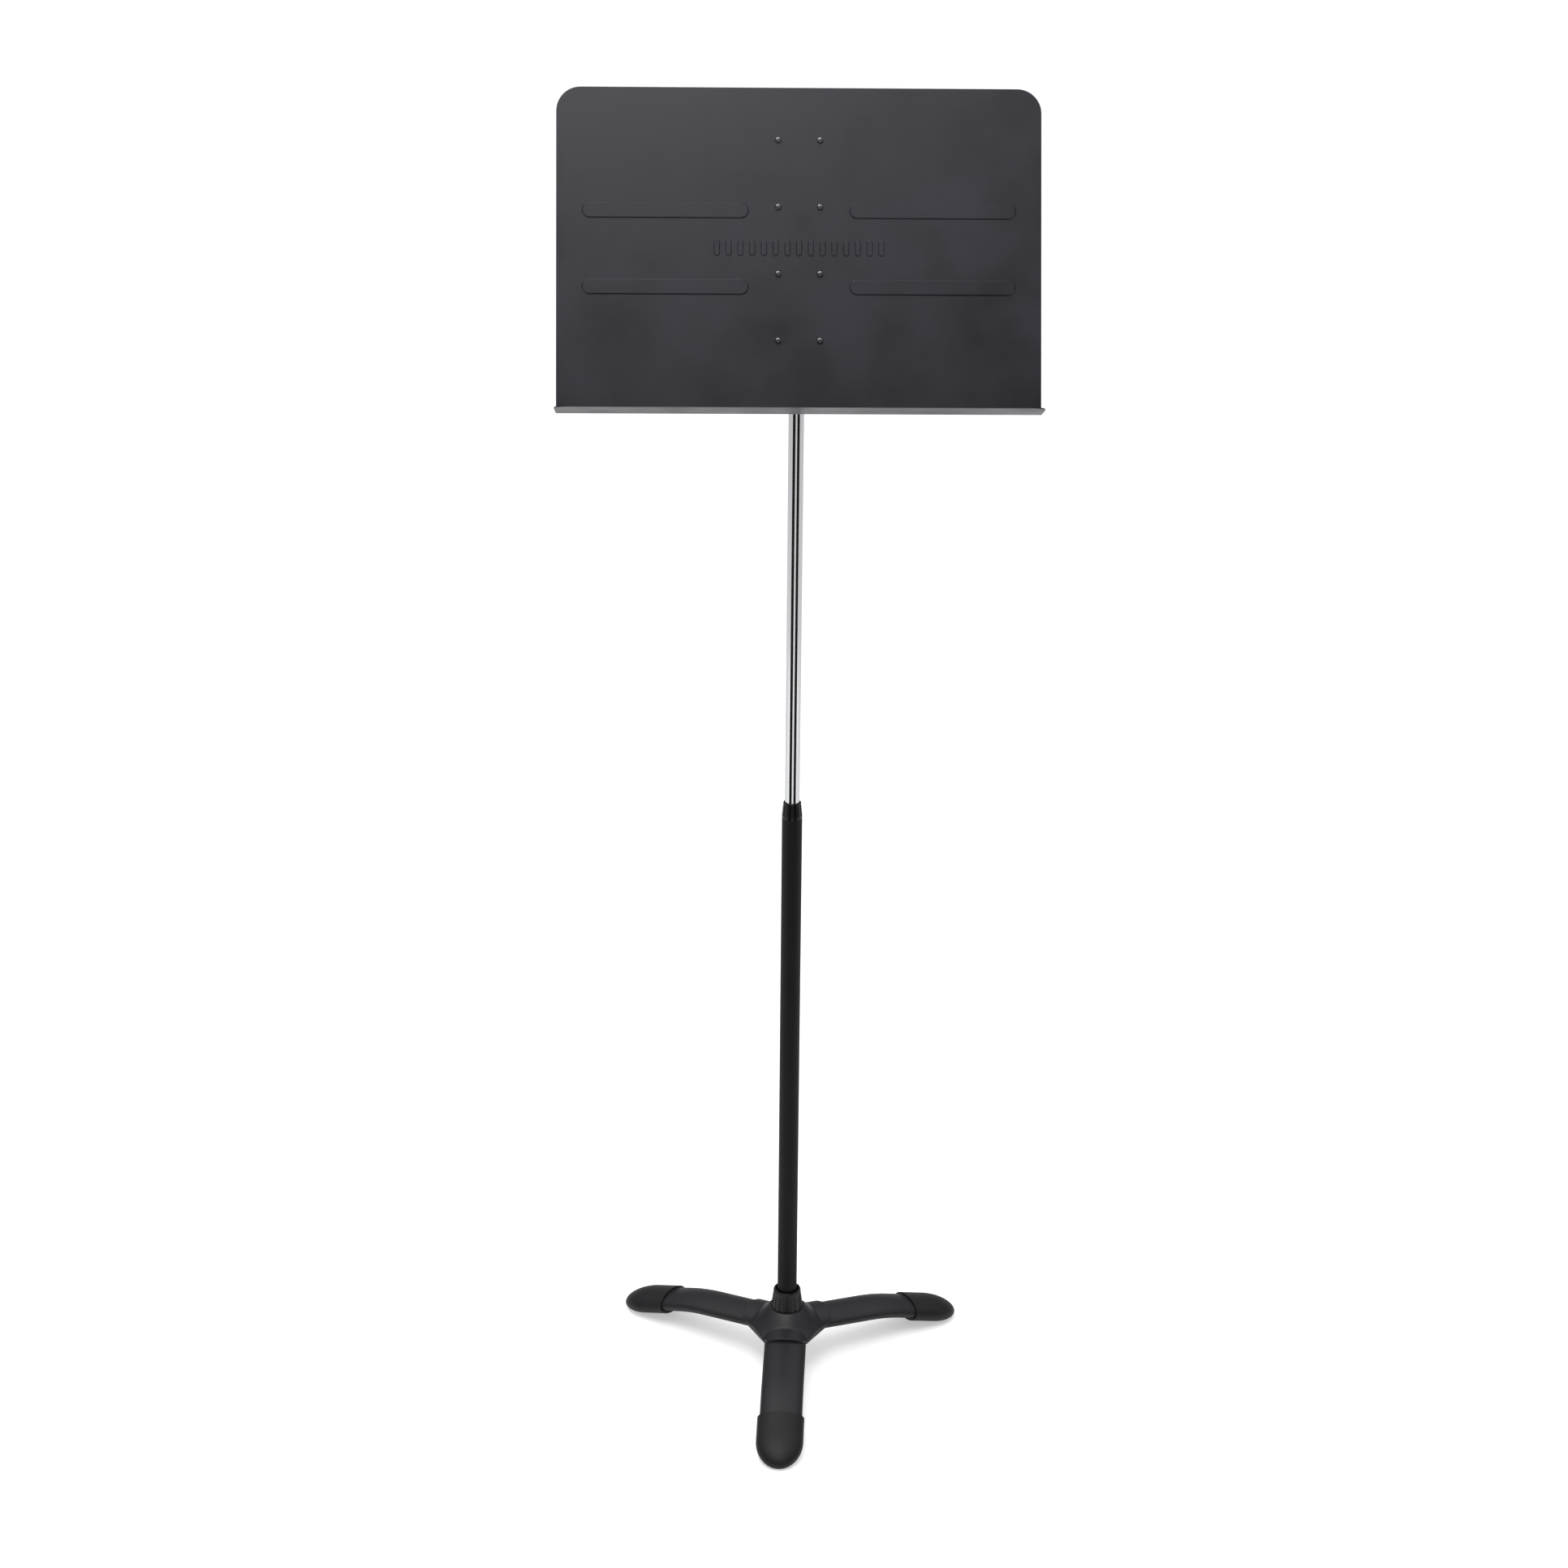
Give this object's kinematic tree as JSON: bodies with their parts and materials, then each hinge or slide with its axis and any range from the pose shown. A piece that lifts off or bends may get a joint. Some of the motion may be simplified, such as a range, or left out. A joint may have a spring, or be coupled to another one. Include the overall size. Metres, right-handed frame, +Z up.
{
  "type": "music stand",
  "caption": "Orchestral music stand: folded steel desk with a ledge, tilting on a friction joint, on a telescoping mast over a tripod base with rubber boots.",
  "frame": {"origin": "on the floor, under the axis of the column", "axes": "+Z up along the column; the player stands on the -Y side; +X runs along the desk to the player's right"},
  "size_m": [0.508, 0.3811, 1.5363],
  "materials": {
    "desk_paint": "satin",
    "black_rivet": "satin",
    "cast_black": "satin",
    "black_tube": "satin",
    "chrome_tube": "polished",
    "black_rubber": "matte",
    "black_nylon": "matte",
    "natural_nylon": "matte",
    "zinc_steel": "plated",
    "spring_steel": "oiled"
  },
  "bodies": {
    "base": {"hub": "cast_black", "hub_cover": "black_nylon", "cover_screw": "zinc_steel", "leg_screws": "zinc_steel", "leg_front": "black_tube", "leg_left": "black_tube", "leg_right": "black_tube", "boot_front": "black_rubber", "boot_left": "black_rubber", "boot_right": "black_rubber", "column_sleeve": "zinc_steel", "clamp_ring": "black_nylon", "lower_tube": "black_tube", "clutch_collar": "black_nylon", "clutch_liner": "natural_nylon", "clutch_spring": "spring_steel"},
    "clamp_nut": {"base_nut": "black_nylon"},
    "guide": {"guide_bush": "natural_nylon"},
    "mast": {"upper_tube": "chrome_tube", "tilt_head": "cast_black", "head_pin": "zinc_steel", "friction_discs": "natural_nylon"},
    "desk": {"desk_plate": "desk_paint", "desk_rivets": "black_rivet", "cheek_left": "desk_paint", "cheek_right": "desk_paint", "pivot_bolt": "zinc_steel", "lock_nut": "zinc_steel", "spring_washers": "spring_steel"}
  },
  "joints": [
    {"name": "base_nut_turn", "type": "hinge", "parent": "base", "child": "clamp_nut", "pos_m": [0, 0, 0.088], "axis": [0, 0, 1], "range_deg": [0, 180]},
    {"name": "height_slide", "type": "slide", "parent": "base", "child": "guide", "axis": [0, 0, 1], "range_m": [-0.56, 0]},
    {"name": "desk_swivel", "type": "hinge", "parent": "guide", "child": "mast", "pos_m": [0, 0, 0.6378], "axis": [0, 0, 1], "continuous": true},
    {"name": "desk_tilt", "type": "hinge", "parent": "mast", "child": "desk", "pos_m": [0, 0, 1.3675], "axis": [1, 0, 0], "range_deg": [-68.8, 21.2]}
  ]
}
